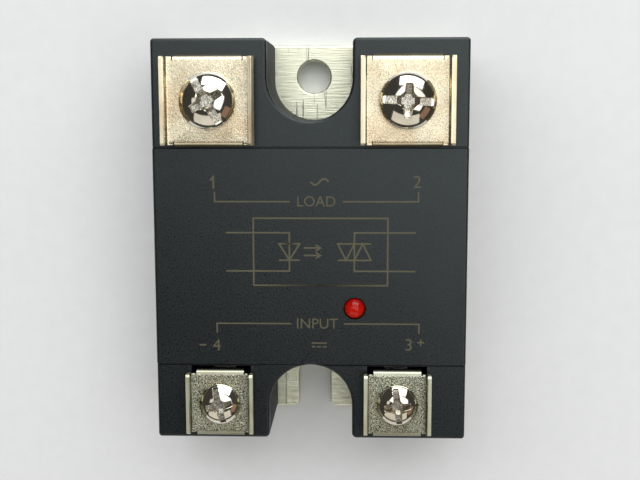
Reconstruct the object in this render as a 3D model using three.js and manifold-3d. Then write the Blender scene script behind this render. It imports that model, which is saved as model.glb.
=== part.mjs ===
// Panel-mount solid state relay: metal base plate, moulded case, four screw clamp terminals, indicator
// lamp, and the power and control parts inside. Millimetres, +Z up. The origin is the centre of the
// base plate's underside, +Y runs to the load terminals and +X to the right as the label is read.

import * as THREE from "three";
import { RoundedBoxGeometry } from "three/addons/geometries/RoundedBoxGeometry.js";
import { mergeVertices } from "three/addons/utils/BufferGeometryUtils.js";
import Module from "manifold-3d";

const wasm = await Module();
wasm.setup();

// ---- Driving dimensions ----

const CASE_LENGTH = 58.4;
const CASE_WIDTH = 45.4;
const CASE_CORNER = 0.8;
const CASE_WALL = 1.8;
const ROOF = 2.0;
const PLATFORM_TOP = 18.75; // where the terminals stand
const LABEL_RISE = 0.25; // the label panel above the terminal platforms
const LOAD_PLATFORM = 15.5; // length of each terminal platform, from the case's end to the label panel
const INPUT_PLATFORM = 11.15;

const PLATE_THICKNESS = 3.0;
const PLATE_INSET = 0.2; // each edge of the plate inside the case's outline
const PLATE_CORNER = 1.0;
const FIXING_SPACING = 47.6; // standard pitch of the fixing hole and slot
const FIXING_HOLE_Y = 24.1;
const FIXING_HOLE_RADIUS = 2.55;
const FIXING_SLOT_WIDTH = 5.0;
const FIXING_MOUTH_RADIUS = 1.0;

const NOTCH_WIDTH = 12.2;
const LOAD_NOTCH_REACH = 6.6; // how far a notch runs inboard past the fixing centre in it
const INPUT_NOTCH_REACH = 5.35;
const NOTCH_WALL = 1.5;

// One terminal size for the load pair and one for the input pair.
const LOAD = {
  spacing: 28.2,
  endDistance: 8.85, // from the screw's axis to the case's end
  direction: 1, // the terminal faces this end of the relay
  clampWidth: 13.2,
  clampLength: 13.26,
  clampThickness: 0.65,
  flangeLength: 12.4,
  flangeRise: 1.5,
  tabWidth: 9.8,
  tabDrop: 0.9,
  stripWidth: 10.6,
  stripThickness: 1.0,
  legWidth: 5.0,
  footLap: 2.4, // how far the foot runs over what it is soldered to
  slotSpare: 0.15, // the case's leg slot beyond the leg, inboard and to each side
  slotSide: 0.25,
  threadRadius: 2.0,
  screwLength: 8.0,
  headRadius: 4.0,
  headHeight: 2.4,
  recessWidth: 1.1,
  crossLength: 4.6,
  crossDepth: 1.7,
  nutSize: 7.0,
  nutHeight: 3.2,
  slotAngles: [119.4, -3.4],
};
const INPUT = {
  spacing: 25.9,
  endDistance: 5.65,
  direction: -1,
  clampWidth: 9.8,
  clampLength: 10.0,
  clampThickness: 0.6,
  flangeLength: 8.9,
  flangeRise: 1.2,
  tabWidth: 7.0,
  tabDrop: 0.7,
  stripWidth: 7.6,
  stripThickness: 0.8,
  legWidth: 3.6,
  footLap: 3.0,
  slotSpare: 1.25,
  slotSide: 2.6,
  threadRadius: 1.5,
  screwLength: 7.0,
  headRadius: 3.0,
  headHeight: 2.0,
  recessWidth: 0.9,
  crossLength: 3.8,
  crossDepth: 1.4,
  nutSize: 5.5,
  nutHeight: 2.4,
  slotAngles: [102.5, 96.6],
};
const TERMINAL_OFFSET = -0.25; // the terminals' middle line, beside the case's
const TAB_GAP = 0.25; // between a clamp's turned-down tabs and the strip's ends
const NUT_GAP = 0.1; // round a nut in its pocket
const NUT_WALL = 1.2;
const NUT_SINK = 0.1; // the nut's top below the strip
const THREAD_GAP = 0.06; // screw to nut, on the radius
const HOLE_GAP = 0.3; // screw to clamp and strip, on the radius
const TIP_GAP = 0.5; // under the screw's tip in its blind hole

const SUBSTRATE = { width: 34.0, length: 22.0, thickness: 0.63, y: 2.0 };
const PAD_EDGE = 0.6; // bare ceramic round the copper
const PAD_SPLIT = 0.8; // bare ceramic between the two pads
const PAD_THICKNESS = 0.3;
const DIE = { size: 7.0, thickness: 0.4, x: 6.0, y: -1.5 };
const CLIP = { width: 2.0, thickness: 0.3, rise: 0.7, offset: 1.9, reach: 5.5 };
const PIN_RADIUS = 0.35;
const BOARD = { width: 36.0, length: 26.0, thickness: 1.6, bottom: 9.5, y: -3.0 };
const LAMP = { x: 6.45, y: -9.6, radius: 1.5, flange: 1.85, flangeHeight: 0.9, stand: 0.95 };
const LAMP_GAP = 0.12;
const POTTING_TOP = 7.0;
const POTTING_GAP = 0.3;
const ROUND = 32; // sides of a turned piece

// ---- Heights and edges worked out from them ----

const LABEL_TOP = PLATFORM_TOP + LABEL_RISE;
const ROOF_UNDERSIDE = PLATFORM_TOP - ROOF;
const HALF_LENGTH = CASE_LENGTH / 2;
const LABEL_LOAD_END = HALF_LENGTH - LOAD_PLATFORM;
const LABEL_INPUT_END = INPUT_PLATFORM - HALF_LENGTH;
const FIXING_SLOT_Y = FIXING_HOLE_Y - FIXING_SPACING;
const SUBSTRATE_TOP = PLATE_THICKNESS + SUBSTRATE.thickness;
const PAD_TOP = SUBSTRATE_TOP + PAD_THICKNESS;
const DIE_TOP = PAD_TOP + DIE.thickness;
const BOARD_TOP = BOARD.bottom + BOARD.thickness;
const LAMP_TOP = LABEL_TOP + LAMP.stand;

// Where each layer of a terminal lies.
function terminalLevels(t) {
  const stripTop = PLATFORM_TOP + t.stripThickness;
  const clampTop = stripTop + t.clampThickness;
  const nutTop = PLATFORM_TOP - NUT_SINK;
  return { stripTop, clampTop, nutTop, nutBottom: nutTop - t.nutHeight, tip: clampTop - t.screwLength };
}

function screwY(t) {
  return t.direction * (HALF_LENGTH - t.endDistance);
}

// Where a load foot ends on its copper pad, and an input foot on the control board.
function footEnd(t) {
  const padEnd = SUBSTRATE.y + SUBSTRATE.length / 2 - PAD_EDGE;
  const boardEnd = BOARD.y - BOARD.length / 2;
  return t.direction > 0 ? padEnd - t.footLap : boardEnd + t.footLap;
}

// The strip's end on the relay's inboard side, measured from the screw.
function stripReach(t) {
  return t.clampLength / 2 - t.clampThickness - TAB_GAP;
}

// ---- Solids ----

function solidOf(geometry) {
  const plain = geometry.index ? geometry.toNonIndexed() : geometry.clone();
  plain.deleteAttribute("normal");
  plain.deleteAttribute("uv");
  const merged = mergeVertices(plain, 1e-4);
  const mesh = new wasm.Mesh({
    numProp: 3,
    vertProperties: new Float32Array(merged.attributes.position.array),
    triVerts: new Uint32Array(merged.index.array),
  });
  return new wasm.Manifold(mesh);
}

function geometryOf(solid) {
  const mesh = solid.getMesh();
  const geometry = new THREE.BufferGeometry();
  geometry.setAttribute("position", new THREE.BufferAttribute(mesh.vertProperties, mesh.numProp));
  geometry.setIndex(new THREE.BufferAttribute(mesh.triVerts, 1));
  const flat = geometry.toNonIndexed();
  flat.computeVertexNormals();
  return flat;
}

function joined(...solids) {
  return solids.reduce((sum, next) => sum.add(next));
}

function cut(solid, ...tools) {
  return tools.reduce((left, tool) => left.subtract(tool), solid);
}

// A box from its middle and sizes in X and Y, and its two heights.
function block(x, y, width, length, bottom, top) {
  const geometry = new THREE.BoxGeometry(width, length, top - bottom);
  geometry.translate(x, y, (top + bottom) / 2);
  return solidOf(geometry);
}

function rod(x, y, radius, bottom, top, sides = ROUND) {
  const geometry = new THREE.CylinderGeometry(radius, radius, top - bottom, sides);
  geometry.rotateX(Math.PI / 2);
  geometry.translate(x, y, (top + bottom) / 2);
  return solidOf(geometry);
}

// A rod lying along X.
function lyingRod(x, y, z, radius, length, sides = 16) {
  const geometry = new THREE.CylinderGeometry(radius, radius, length, sides);
  geometry.rotateZ(Math.PI / 2);
  geometry.translate(x, y, z);
  return solidOf(geometry);
}

function prism(shape, bottom, top, curveSegments = 12) {
  const geometry = new THREE.ExtrudeGeometry(shape, {
    depth: top - bottom,
    bevelEnabled: false,
    curveSegments,
  });
  geometry.translate(0, 0, bottom);
  return solidOf(geometry);
}

function roundedRectangle(width, length, radius) {
  const x = width / 2;
  const y = length / 2;
  const shape = new THREE.Shape();
  shape.moveTo(x, -y + radius);
  shape.lineTo(x, y - radius);
  shape.absarc(x - radius, y - radius, radius, 0, Math.PI / 2);
  shape.lineTo(-x + radius, y);
  shape.absarc(-x + radius, y - radius, radius, Math.PI / 2, Math.PI);
  shape.lineTo(-x, -y + radius);
  shape.absarc(-x + radius, -y + radius, radius, Math.PI, 1.5 * Math.PI);
  shape.lineTo(x - radius, -y);
  shape.absarc(x - radius, -y + radius, radius, 1.5 * Math.PI, 2 * Math.PI);
  return shape;
}

// A slot with a half-round closed end, open towards +Y (direction 1) or -Y (direction -1).
function openSlot(width, closedEnd, mouth, direction, bottom, top) {
  const radius = width / 2;
  const centre = closedEnd + direction * radius;
  const shape = new THREE.Shape();
  shape.moveTo(radius, direction * mouth);
  shape.lineTo(radius, direction * centre);
  shape.absarc(0, direction * centre, radius, 0, Math.PI, true);
  shape.lineTo(-radius, direction * mouth);
  const solid = prism(shape, bottom, top, 24);
  return direction > 0 ? solid : solid.rotate([0, 0, 180]);
}

function part(name, solid, material) {
  const mesh = new THREE.Mesh(geometryOf(solid), material);
  mesh.name = name;
  return mesh;
}

// ---- Finishes ----

function finish(color, roughness, metalness = 0) {
  return new THREE.MeshStandardMaterial({ color, roughness, metalness });
}

const casePlastic = () => finish(0x2b2e2f, 0.55);
const plateMetal = () => finish(0xd9d7c4, 0.35, 1);
const clampMetal = () => finish(0xc6bd9f, 0.3, 1);
const screwMetal = () => finish(0xe4e0d2, 0.15, 1);
const copper = () => finish(0xb8754a, 0.35, 1);
const tinned = () => finish(0xc9c9c4, 0.3, 1);
const ceramic = () => finish(0xe9e6dc, 0.6);
const boardLaminate = () => finish(0x1f5a35, 0.5);
const blackMoulding = () => finish(0x1b1b1c, 0.5);
const lampLens = () => finish(0xc8201a, 0.15);

// ---- Case and base plate ----

function notchCutters(bottom, top, wall) {
  const loadFoot = FIXING_HOLE_Y - LOAD_NOTCH_REACH - wall;
  const inputFoot = -FIXING_SLOT_Y - INPUT_NOTCH_REACH - wall;
  const width = NOTCH_WIDTH + 2 * wall;
  return [
    openNotch(width, loadFoot, 1, bottom, top),
    openNotch(width, inputFoot, -1, bottom, top),
  ];
}

// A round-bottomed notch in the end of the case; foot is the distance of its deepest point from the middle.
function openNotch(width, foot, direction, bottom, top) {
  const radius = width / 2;
  const centre = foot + radius;
  const shape = new THREE.Shape();
  shape.moveTo(radius, HALF_LENGTH + 1);
  shape.lineTo(-radius, HALF_LENGTH + 1);
  shape.lineTo(-radius, centre);
  shape.absarc(0, centre, radius, Math.PI, 2 * Math.PI);
  const solid = prism(shape, bottom, top, 24);
  return direction > 0 ? solid : solid.rotate([0, 0, 180]);
}

function caseShell() {
  const body = prism(roundedRectangle(CASE_WIDTH, CASE_LENGTH, CASE_CORNER), PLATE_THICKNESS, PLATFORM_TOP, 4);
  const labelLength = LABEL_LOAD_END - LABEL_INPUT_END;
  const labelMiddle = (LABEL_LOAD_END + LABEL_INPUT_END) / 2;
  const label = block(0, labelMiddle, CASE_WIDTH, labelLength, PLATFORM_TOP - 1, LABEL_TOP);
  const inner = roundedRectangle(CASE_WIDTH - 2 * CASE_WALL, CASE_LENGTH - 2 * CASE_WALL, CASE_CORNER);
  const room = prism(inner, PLATE_THICKNESS - 1, ROOF_UNDERSIDE, 4);
  const hollow = cut(room, ...notchCutters(PLATE_THICKNESS - 2, LABEL_TOP, NOTCH_WALL));
  const bosses = terminals().map(({ t, x }) => nutBoss(t, x));
  const pockets = terminals().flatMap(({ t, x }) => [nutPocket(t, x), screwHole(t, x), legSlot(t, x)]);
  const lampHole = rod(LAMP.x, LAMP.y, LAMP.radius + LAMP_GAP, ROOF_UNDERSIDE - 1, LABEL_TOP + 1);
  const walls = cut(joined(body, label), hollow, ...notchCutters(PLATE_THICKNESS - 1, LABEL_TOP + 1, 0));
  return cut(joined(walls, ...bosses), ...pockets, lampHole);
}

function nutBoss(t, x) {
  const { tip } = terminalLevels(t);
  const size = t.nutSize + 2 * NUT_GAP + 2 * NUT_WALL;
  const inboard = stripReach(t) - t.stripThickness - TAB_GAP;
  const outboard = size / 2;
  const length = inboard + outboard;
  const y = screwY(t) + (t.direction * (outboard - inboard)) / 2;
  return block(x, y, size, length, tip - TIP_GAP - 1, PLATFORM_TOP - ROOF / 2);
}

function nutPocket(t, x) {
  const size = t.nutSize + 2 * NUT_GAP;
  return block(x, screwY(t), size, size, terminalLevels(t).nutBottom - NUT_GAP, PLATFORM_TOP + 1);
}

function screwHole(t, x) {
  const { nutBottom, tip } = terminalLevels(t);
  return rod(x, screwY(t), t.threadRadius + HOLE_GAP, tip - TIP_GAP, nutBottom);
}

// The slot that a strip's leg goes down through, on the inboard side of the screw.
function legSlot(t, x) {
  const reach = stripReach(t);
  const near = reach - t.stripThickness - TAB_GAP / 2;
  const far = reach + t.slotSpare;
  const y = screwY(t) - (t.direction * (near + far)) / 2;
  const width = t.legWidth + 2 * t.slotSide;
  return block(x, y, width, far - near, ROOF_UNDERSIDE - 1, PLATFORM_TOP + 1);
}

function basePlate() {
  const outline = roundedRectangle(CASE_WIDTH - 2 * PLATE_INSET, CASE_LENGTH - 2 * PLATE_INSET, PLATE_CORNER);
  const plate = prism(outline, 0, PLATE_THICKNESS, 6);
  const hole = rod(0, FIXING_HOLE_Y, FIXING_HOLE_RADIUS, -1, PLATE_THICKNESS + 1);
  return cut(plate, hole, fixingSlot());
}

// A slot open at the input end, half-round inside and with rounded corners at its mouth.
function fixingSlot() {
  const radius = FIXING_SLOT_WIDTH / 2;
  const end = HALF_LENGTH - PLATE_INSET;
  const flare = radius + FIXING_MOUTH_RADIUS;
  const shape = new THREE.Shape();
  shape.moveTo(flare, end + 1);
  shape.lineTo(-flare, end + 1);
  shape.lineTo(-flare, end);
  shape.absarc(-flare, end - FIXING_MOUTH_RADIUS, FIXING_MOUTH_RADIUS, Math.PI / 2, 0, true);
  shape.lineTo(-radius, -FIXING_SLOT_Y);
  shape.absarc(0, -FIXING_SLOT_Y, radius, Math.PI, 2 * Math.PI);
  shape.lineTo(radius, end - FIXING_MOUTH_RADIUS);
  shape.absarc(flare, end - FIXING_MOUTH_RADIUS, FIXING_MOUTH_RADIUS, Math.PI, Math.PI / 2, true);
  return prism(shape, -1, PLATE_THICKNESS + 1, 16).rotate([0, 0, 180]);
}

// ---- Terminals ----

// Each terminal's number, size and X, left and right at both ends.
function terminals() {
  const place = (t, numbers) =>
    numbers.map((number, i) => {
      const side = i === 0 ? -1 : 1;
      return { t, number, x: TERMINAL_OFFSET + (side * t.spacing) / 2, angle: t.slotAngles[i] };
    });
  return [...place(LOAD, [1, 2]), ...place(INPUT, [4, 3])];
}

// A flat bar under the clamp with a leg down into the case and a foot turned inboard.
function terminalStrip(t, x, footBottom) {
  const { stripTop } = terminalLevels(t);
  const reach = stripReach(t);
  const y = screwY(t);
  const legOuter = y - t.direction * (reach - t.stripThickness);
  const legMiddle = y - t.direction * (reach - t.stripThickness / 2);
  const bar = block(x, y, t.stripWidth, 2 * reach, PLATFORM_TOP, stripTop);
  const leg = block(x, legMiddle, t.legWidth, t.stripThickness, footBottom, stripTop);
  const footLength = Math.abs(legOuter - footEnd(t));
  const footTop = footBottom + t.stripThickness;
  const foot = block(x, (legOuter + footEnd(t)) / 2, t.legWidth, footLength, footBottom, footTop);
  const hole = rod(x, y, t.threadRadius + HOLE_GAP, PLATFORM_TOP - 1, stripTop + 1);
  return cut(joined(bar, leg, foot), hole);
}

function squareNut(t, x) {
  const { nutTop, nutBottom } = terminalLevels(t);
  const body = block(x, screwY(t), t.nutSize, t.nutSize, nutBottom, nutTop);
  const bore = t.threadRadius / Math.cos(Math.PI / ROUND) + THREAD_GAP;
  return cut(body, rod(x, screwY(t), bore, nutBottom - 1, nutTop + 1));
}

// Half of a clamp's section across X: the plate and its bent-up flange.
function clampSection(t) {
  const half = t.clampWidth / 2;
  const thick = t.clampThickness;
  const inner = thick * 0.6;
  const outer = inner + thick;
  const top = thick + t.flangeRise;
  const shape = new THREE.Shape();
  shape.moveTo(-half + outer, 0);
  shape.lineTo(half - outer, 0);
  shape.absarc(half - outer, outer, outer, -Math.PI / 2, 0);
  shape.lineTo(half, top);
  shape.lineTo(half - thick, top);
  shape.lineTo(half - thick, outer);
  shape.absarc(half - outer, outer, inner, 0, -Math.PI / 2, true);
  shape.lineTo(-half + outer, thick);
  shape.absarc(-half + outer, outer, inner, -Math.PI / 2, -Math.PI, true);
  shape.lineTo(-half + thick, top);
  shape.lineTo(-half, top);
  shape.lineTo(-half, outer);
  shape.absarc(-half + outer, outer, outer, -Math.PI, -Math.PI / 2);
  return shape;
}

// Section across Y: the plate's middle with a tab turned down at each end.
function tabSection(t) {
  const half = t.clampLength / 2;
  const thick = t.clampThickness;
  const shape = new THREE.Shape();
  shape.moveTo(-half, -t.tabDrop);
  shape.lineTo(-half + thick, -t.tabDrop);
  shape.lineTo(-half + thick, 0);
  shape.lineTo(half - thick, 0);
  shape.lineTo(half - thick, -t.tabDrop);
  shape.lineTo(half, -t.tabDrop);
  shape.lineTo(half, 0);
  shape.absarc(half - thick, 0, thick, 0, Math.PI / 2);
  shape.lineTo(-half + thick, thick);
  shape.absarc(-half + thick, 0, thick, Math.PI / 2, Math.PI);
  return shape;
}

// The square clamp that a screw presses onto a wire lying on the strip.
function clamp(t, x) {
  const { stripTop, clampTop } = terminalLevels(t);
  const plate = prism(clampSection(t), -t.flangeLength / 2, t.flangeLength / 2, 4);
  const tabs = prism(tabSection(t), -t.tabWidth / 2, t.tabWidth / 2, 4);
  const upright = plate.rotate([90, 0, 0]);
  const across = tabs.rotate([90, 0, 90]);
  const body = joined(upright, across).translate([x, screwY(t), stripTop]);
  return cut(body, rod(x, screwY(t), t.threadRadius + HOLE_GAP, stripTop - 1, clampTop + 1));
}

// Pan head with a cross recess and a slot across it, on a plain shank of the thread's outside size.
function clampScrew(t, x, angle) {
  const { clampTop, tip } = terminalLevels(t);
  const rim = 0.35 * t.headHeight;
  const profile = [new THREE.Vector2(0, tip - clampTop), new THREE.Vector2(t.threadRadius, tip - clampTop)];
  profile.push(new THREE.Vector2(t.threadRadius, 0), new THREE.Vector2(t.headRadius, 0));
  const steps = 7;
  for (let i = 0; i <= steps; i += 1) {
    const turn = (i / steps) * (Math.PI / 2);
    const radius = t.headRadius * Math.cos(turn) ** 0.7;
    profile.push(new THREE.Vector2(i === steps ? 0 : radius, rim + (t.headHeight - rim) * Math.sin(turn)));
  }
  const turned = new THREE.LatheGeometry(profile, ROUND);
  turned.rotateX(Math.PI / 2);
  const top = t.headHeight;
  const slot = block(0, 0, 2 * t.headRadius + 1, t.recessWidth, top * 0.62, top + 1);
  const along = block(0, 0, t.crossLength, t.recessWidth, top - t.crossDepth, top + 1);
  const across = block(0, 0, t.recessWidth, t.crossLength, top - t.crossDepth, top + 1);
  const head = cut(solidOf(turned), slot, along, across);
  return head.rotate([0, 0, angle]).translate([x, screwY(t), clampTop]);
}

function terminalParts() {
  return terminals().flatMap(({ t, number, x, angle }) => {
    const kind = t === LOAD ? "load" : "input";
    const footBottom = t === LOAD ? PAD_TOP : BOARD_TOP;
    return [
      part(`${kind}_strip_${number}`, terminalStrip(t, x, footBottom), t === LOAD ? copper() : tinned()),
      part(`${kind}_nut_${number}`, squareNut(t, x), tinned()),
      part(`${kind}_clamp_${number}`, clamp(t, x), clampMetal()),
      part(`${kind}_screw_${number}`, clampScrew(t, x, angle), screwMetal()),
    ];
  });
}

// ---- Power stage on the base plate ----

function copperPad(side) {
  const width = SUBSTRATE.width / 2 - PAD_EDGE - PAD_SPLIT / 2;
  const x = side * (PAD_SPLIT / 2 + width / 2);
  return block(x, SUBSTRATE.y, width, SUBSTRATE.length - 2 * PAD_EDGE, SUBSTRATE_TOP, PAD_TOP);
}

// A bridge from the top of one die over the split to the other side's pad.
function bridgeClip(side) {
  const y = DIE.y - side * CLIP.offset;
  const top = DIE_TOP + CLIP.rise;
  const dieEnd = side * (DIE.x + CLIP.width / 2);
  const dieStep = side * (DIE.x - CLIP.width / 2);
  const padStep = -side * (PAD_SPLIT / 2 + 1.6);
  const padEnd = -side * (PAD_SPLIT / 2 + 0.4);
  const span = (from, to, bottom, height) =>
    block((from + to) / 2, y, Math.abs(to - from), CLIP.width, bottom, height);
  return joined(
    span(dieEnd, dieStep, DIE_TOP, DIE_TOP + CLIP.thickness),
    span(dieStep, dieStep - side * CLIP.thickness, DIE_TOP, top),
    span(dieStep, padStep, top - CLIP.thickness, top),
    span(padStep + side * CLIP.thickness, padStep, PAD_TOP, top),
    span(padEnd, padStep, PAD_TOP, PAD_TOP + CLIP.thickness),
  );
}

function powerStage() {
  const slab = block(0, SUBSTRATE.y, SUBSTRATE.width, SUBSTRATE.length, PLATE_THICKNESS, SUBSTRATE_TOP);
  const pieces = [part("ceramic_substrate", slab, ceramic())];
  for (const [number, side] of [[1, -1], [2, 1]]) {
    const x = side * DIE.x;
    const die = block(x, DIE.y, DIE.size, DIE.size, PAD_TOP, DIE_TOP);
    const gateX = side * (DIE.x + DIE.size / 2 - 1.2);
    const gateY = DIE.y + side * (DIE.size / 2 - 1.2);
    pieces.push(
      part(`copper_pad_${number}`, copperPad(side), copper()),
      part(`thyristor_${number}`, die, blackMoulding()),
      part(`bridge_clip_${number}`, bridgeClip(side), copper()),
      part(`gate_pin_${number}`, rod(gateX, gateY, PIN_RADIUS, DIE_TOP, BOARD.bottom, 12), tinned()),
      part(`sense_pin_${number}`, rod(side * 13, DIE.y - 5, PIN_RADIUS, PAD_TOP, BOARD.bottom, 12), tinned()),
    );
  }
  return pieces;
}

// A soft block poured round the power stage, open above it and round everything that passes up through it.
function pottingBlock() {
  const edge = CASE_WALL + POTTING_GAP;
  const outline = roundedRectangle(CASE_WIDTH - 2 * edge, CASE_LENGTH - 2 * edge, CASE_CORNER);
  const bottom = PLATE_THICKNESS;
  const pour = prism(outline, bottom, POTTING_TOP, 4);
  const notches = notchCutters(bottom - 1, POTTING_TOP + 1, NOTCH_WALL + POTTING_GAP);
  const wellWidth = SUBSTRATE.width + 2 * POTTING_GAP;
  const legOuter = screwY(LOAD) - stripReach(LOAD) + LOAD.stripThickness;
  const wellStart = SUBSTRATE.y - SUBSTRATE.length / 2 - POTTING_GAP;
  const wellEnd = legOuter + POTTING_GAP;
  const well = block(0, (wellStart + wellEnd) / 2, wellWidth, wellEnd - wellStart, bottom - 1, POTTING_TOP + 1);
  return cut(pour, ...notches, well);
}

// ---- Control board ----

function chipPackage(x, y) {
  const body = block(x, y, 6.4, 8.6, BOARD_TOP + 0.5, BOARD_TOP + 3.9);
  const legs = [-2.54, 0, 2.54].flatMap((dy) =>
    [-1, 1].flatMap((side) => [
      block(x + side * 3.5, y + dy, 1.0, 0.5, BOARD_TOP + 2.0, BOARD_TOP + 2.25),
      block(x + side * 3.87, y + dy, 0.25, 0.5, BOARD_TOP, BOARD_TOP + 2.25),
    ]),
  );
  return joined(body, ...legs);
}

// An axial part lying along X: a round body with a lead bent down at each end.
function axialPart(x, y, radius, length, pitch) {
  const z = BOARD_TOP + radius + 0.2;
  const lead = 0.3;
  const body = lyingRod(x, y, z, radius, length);
  const wire = lyingRod(x, y, z, lead, pitch, 8);
  const ends = [-1, 1].map((side) => rod(x + side * (pitch / 2 - lead), y, lead, BOARD_TOP, z, 8));
  return joined(body, wire, ...ends);
}

function transistor(x, y) {
  const shape = new THREE.Shape();
  const radius = 2.3;
  const flat = Math.asin(0.55);
  shape.absarc(0, 0, radius, -flat, Math.PI + flat);
  const geometry = prism(shape, 0, 3.6, 12).translate([x, y, BOARD_TOP + 1.2]);
  const legs = [-1.27, 0, 1.27].map((dx) => block(x + dx, y, 0.45, 0.45, BOARD_TOP, BOARD_TOP + 1.6));
  return joined(geometry, ...legs);
}

function capacitorBlock(x, y) {
  const box = new RoundedBoxGeometry(10, 5, 5, 2, 0.4);
  box.translate(x, y, BOARD_TOP + 2.7);
  const leads = [-3.75, 3.75].map((dx) => block(x + dx, y, 0.6, 0.6, BOARD_TOP, BOARD_TOP + 0.8));
  return joined(solidOf(box), ...leads);
}

// The lamp's dome, its flange under the roof and its two leads down to the board.
function indicatorLamp() {
  const centre = LAMP_TOP - LAMP.radius;
  const flangeTop = ROOF_UNDERSIDE - LAMP_GAP;
  const flangeBottom = flangeTop - LAMP.flangeHeight;
  const profile = [new THREE.Vector2(0, flangeBottom), new THREE.Vector2(LAMP.flange, flangeBottom)];
  profile.push(new THREE.Vector2(LAMP.flange, flangeTop), new THREE.Vector2(LAMP.radius, flangeTop));
  const steps = 8;
  for (let i = 0; i <= steps; i += 1) {
    const turn = (i / steps) * (Math.PI / 2);
    const radius = i === steps ? 0 : LAMP.radius * Math.cos(turn);
    profile.push(new THREE.Vector2(radius, centre + LAMP.radius * Math.sin(turn)));
  }
  const dome = new THREE.LatheGeometry(profile, 24);
  dome.rotateX(Math.PI / 2);
  const leads = [-1.27, 1.27].map((dx) => block(dx, 0, 0.5, 0.5, BOARD_TOP, flangeBottom + 0.4));
  return joined(solidOf(dome), ...leads).translate([LAMP.x, LAMP.y, 0]);
}

function controlParts() {
  const board = block(0, BOARD.y, BOARD.width, BOARD.length, BOARD.bottom, BOARD_TOP);
  return [
    part("control_board", board, boardLaminate()),
    part("optocoupler", chipPackage(-2, -6), blackMoulding()),
    part("input_resistor", axialPart(-14, -8.5, 0.9, 4.0, 7.0), ceramic()),
    part("input_diode", axialPart(-14, -5, 0.8, 3.4, 7.0), blackMoulding()),
    part("input_transistor", transistor(14, -7), blackMoulding()),
    part("gate_resistor_1", axialPart(-10.5, 1, 0.9, 4.0, 7.0), ceramic()),
    part("gate_resistor_2", axialPart(10.5, 1, 0.9, 4.0, 7.0), ceramic()),
    part("snubber_capacitor", capacitorBlock(-8, 6), finish(0xd9b43c, 0.45)),
    part("snubber_resistor", axialPart(9, 6, 1.5, 8.0, 12.0), ceramic()),
    part("indicator_led", indicatorLamp(), lampLens()),
  ];
}

// ---- The relay ----

const relay = new THREE.Group();
relay.add(part("base_plate", basePlate(), plateMetal()));
relay.add(part("case", caseShell(), casePlastic()));
relay.add(part("potting_compound", pottingBlock(), finish(0x40454a, 0.7)));
relay.add(...powerStage(), ...controlParts(), ...terminalParts());

export default relay;
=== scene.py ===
"""The looks of a panel-mount solid state relay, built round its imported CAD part.

Everything is in the part's own frame: metres, +Z up, +Y to the load terminals. Sizes below are in millimetres.
"""

import math

import bmesh
import bpy
import numpy as np
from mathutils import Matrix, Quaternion, Vector
from mathutils.geometry import delaunay_2d_cdt


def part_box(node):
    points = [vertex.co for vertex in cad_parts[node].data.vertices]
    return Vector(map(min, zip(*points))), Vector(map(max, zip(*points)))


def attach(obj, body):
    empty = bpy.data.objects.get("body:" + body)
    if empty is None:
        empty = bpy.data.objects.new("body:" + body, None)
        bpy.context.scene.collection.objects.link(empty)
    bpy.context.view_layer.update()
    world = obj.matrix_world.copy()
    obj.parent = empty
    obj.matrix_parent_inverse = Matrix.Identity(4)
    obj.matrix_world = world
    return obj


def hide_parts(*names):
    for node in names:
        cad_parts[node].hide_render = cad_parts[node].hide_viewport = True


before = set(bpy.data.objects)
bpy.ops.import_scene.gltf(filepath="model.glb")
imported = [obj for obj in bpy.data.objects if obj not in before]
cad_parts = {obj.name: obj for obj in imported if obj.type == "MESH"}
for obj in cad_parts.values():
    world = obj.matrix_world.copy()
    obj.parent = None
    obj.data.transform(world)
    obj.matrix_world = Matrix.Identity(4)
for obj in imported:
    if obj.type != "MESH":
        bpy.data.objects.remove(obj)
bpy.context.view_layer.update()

MM = 0.001


def span(node):
    """The lowest and highest corners of a CAD node, in millimetres."""
    low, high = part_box(node)
    return np.array(low) / MM, np.array(high) / MM


CASE_LOW, CASE_HIGH = span("case")
PLATE_LOW, PLATE_HIGH = span("base_plate")
LAMP_LOW, LAMP_HIGH = span("indicator_led")

# ---- Sizes that the CAD boxes don't give ----

CASE_CORNER = 0.5
CASE_RIM = 0.42  # rounding of the case's top edge
CASE_WALL = 1.8
ROOF = 2.0
LABEL_RISE = 0.25
LOAD_STEP_Y = CASE_HIGH[1] - 15.5
INPUT_STEP_Y = CASE_LOW[1] + 11.15
STEP_GROOVE = 0.14  # depth of the fine groove along each step
NOTCH_HALF = 6.1
LOAD_NOTCH_END = 17.5
INPUT_NOTCH_END = -18.15
NOTCH_MOUTH = 0.7
NOTCH_WALL = 1.5

PLATE_CORNER = 1.0
PLATE_ROUND = 0.28
HOLE_Y = 24.1
HOLE_RADIUS = 2.55
SLOT_HALF = 2.5
SLOT_END = -21.0
SLOT_MOUTH = 1.0

LABEL_TOP = CASE_HIGH[2]
PLATFORM = LABEL_TOP - LABEL_RISE
ROOF_UNDER = PLATFORM - ROOF
PRINT_RISE = 0.012

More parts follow.
